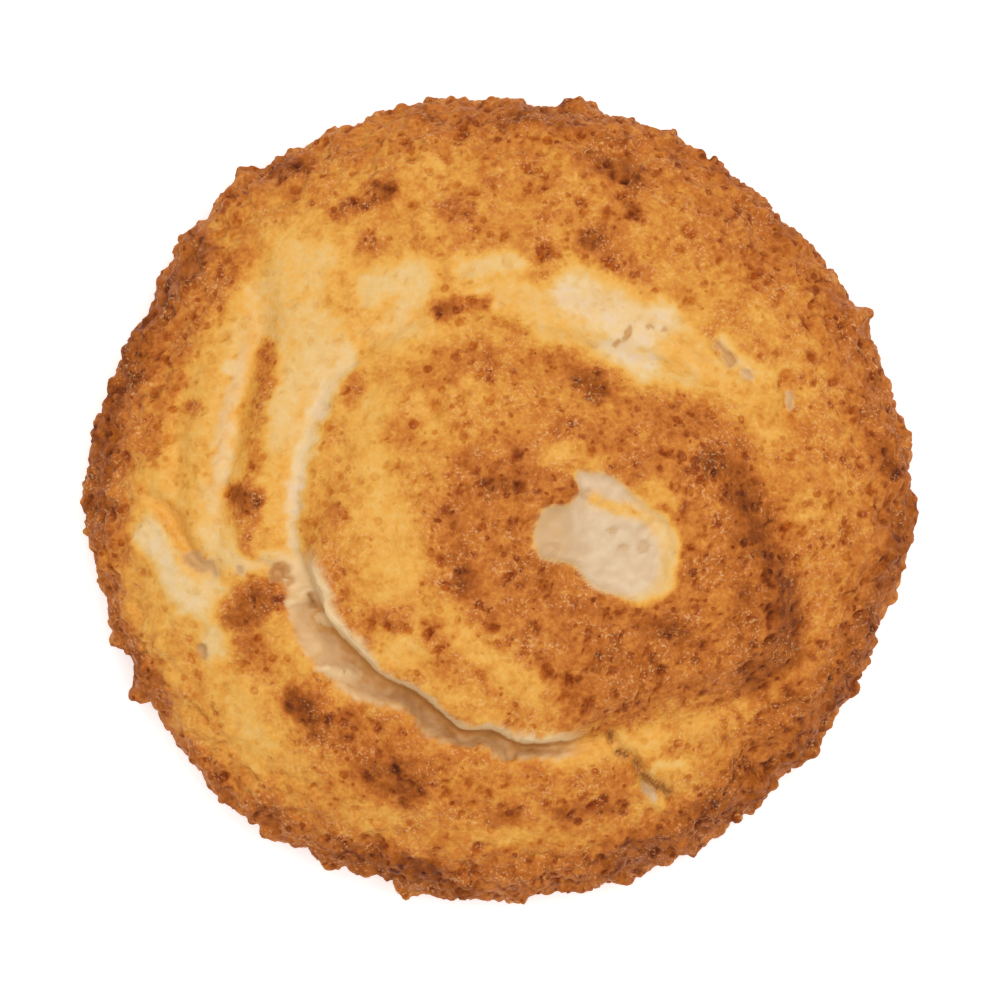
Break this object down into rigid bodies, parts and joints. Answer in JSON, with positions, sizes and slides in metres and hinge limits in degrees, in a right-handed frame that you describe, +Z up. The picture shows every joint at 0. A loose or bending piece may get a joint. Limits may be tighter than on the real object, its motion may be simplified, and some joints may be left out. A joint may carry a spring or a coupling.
{
  "type": "coconut macaroon",
  "caption": "Round baked coconut macaroon: a piped swirl with a browned craggy rim, a raised inner coil, a torn crevice beside it and a bare tip.",
  "frame": {"origin": "centre of the bounding box's bottom, on the flat base", "axes": "+Z up out of the swirl, +X along the widest diameter towards the darkest browned side, +Y towards the pale furrow above the inner coil"},
  "size_m": [0.08, 0.0772, 0.026],
  "materials": {
    "baked_coconut": "crumbly baked coconut crust, golden to dark brown, dull with small glints"
  },
  "bodies": {
    "root": {"macaroon": "baked_coconut"}
  },
  "joints": []
}
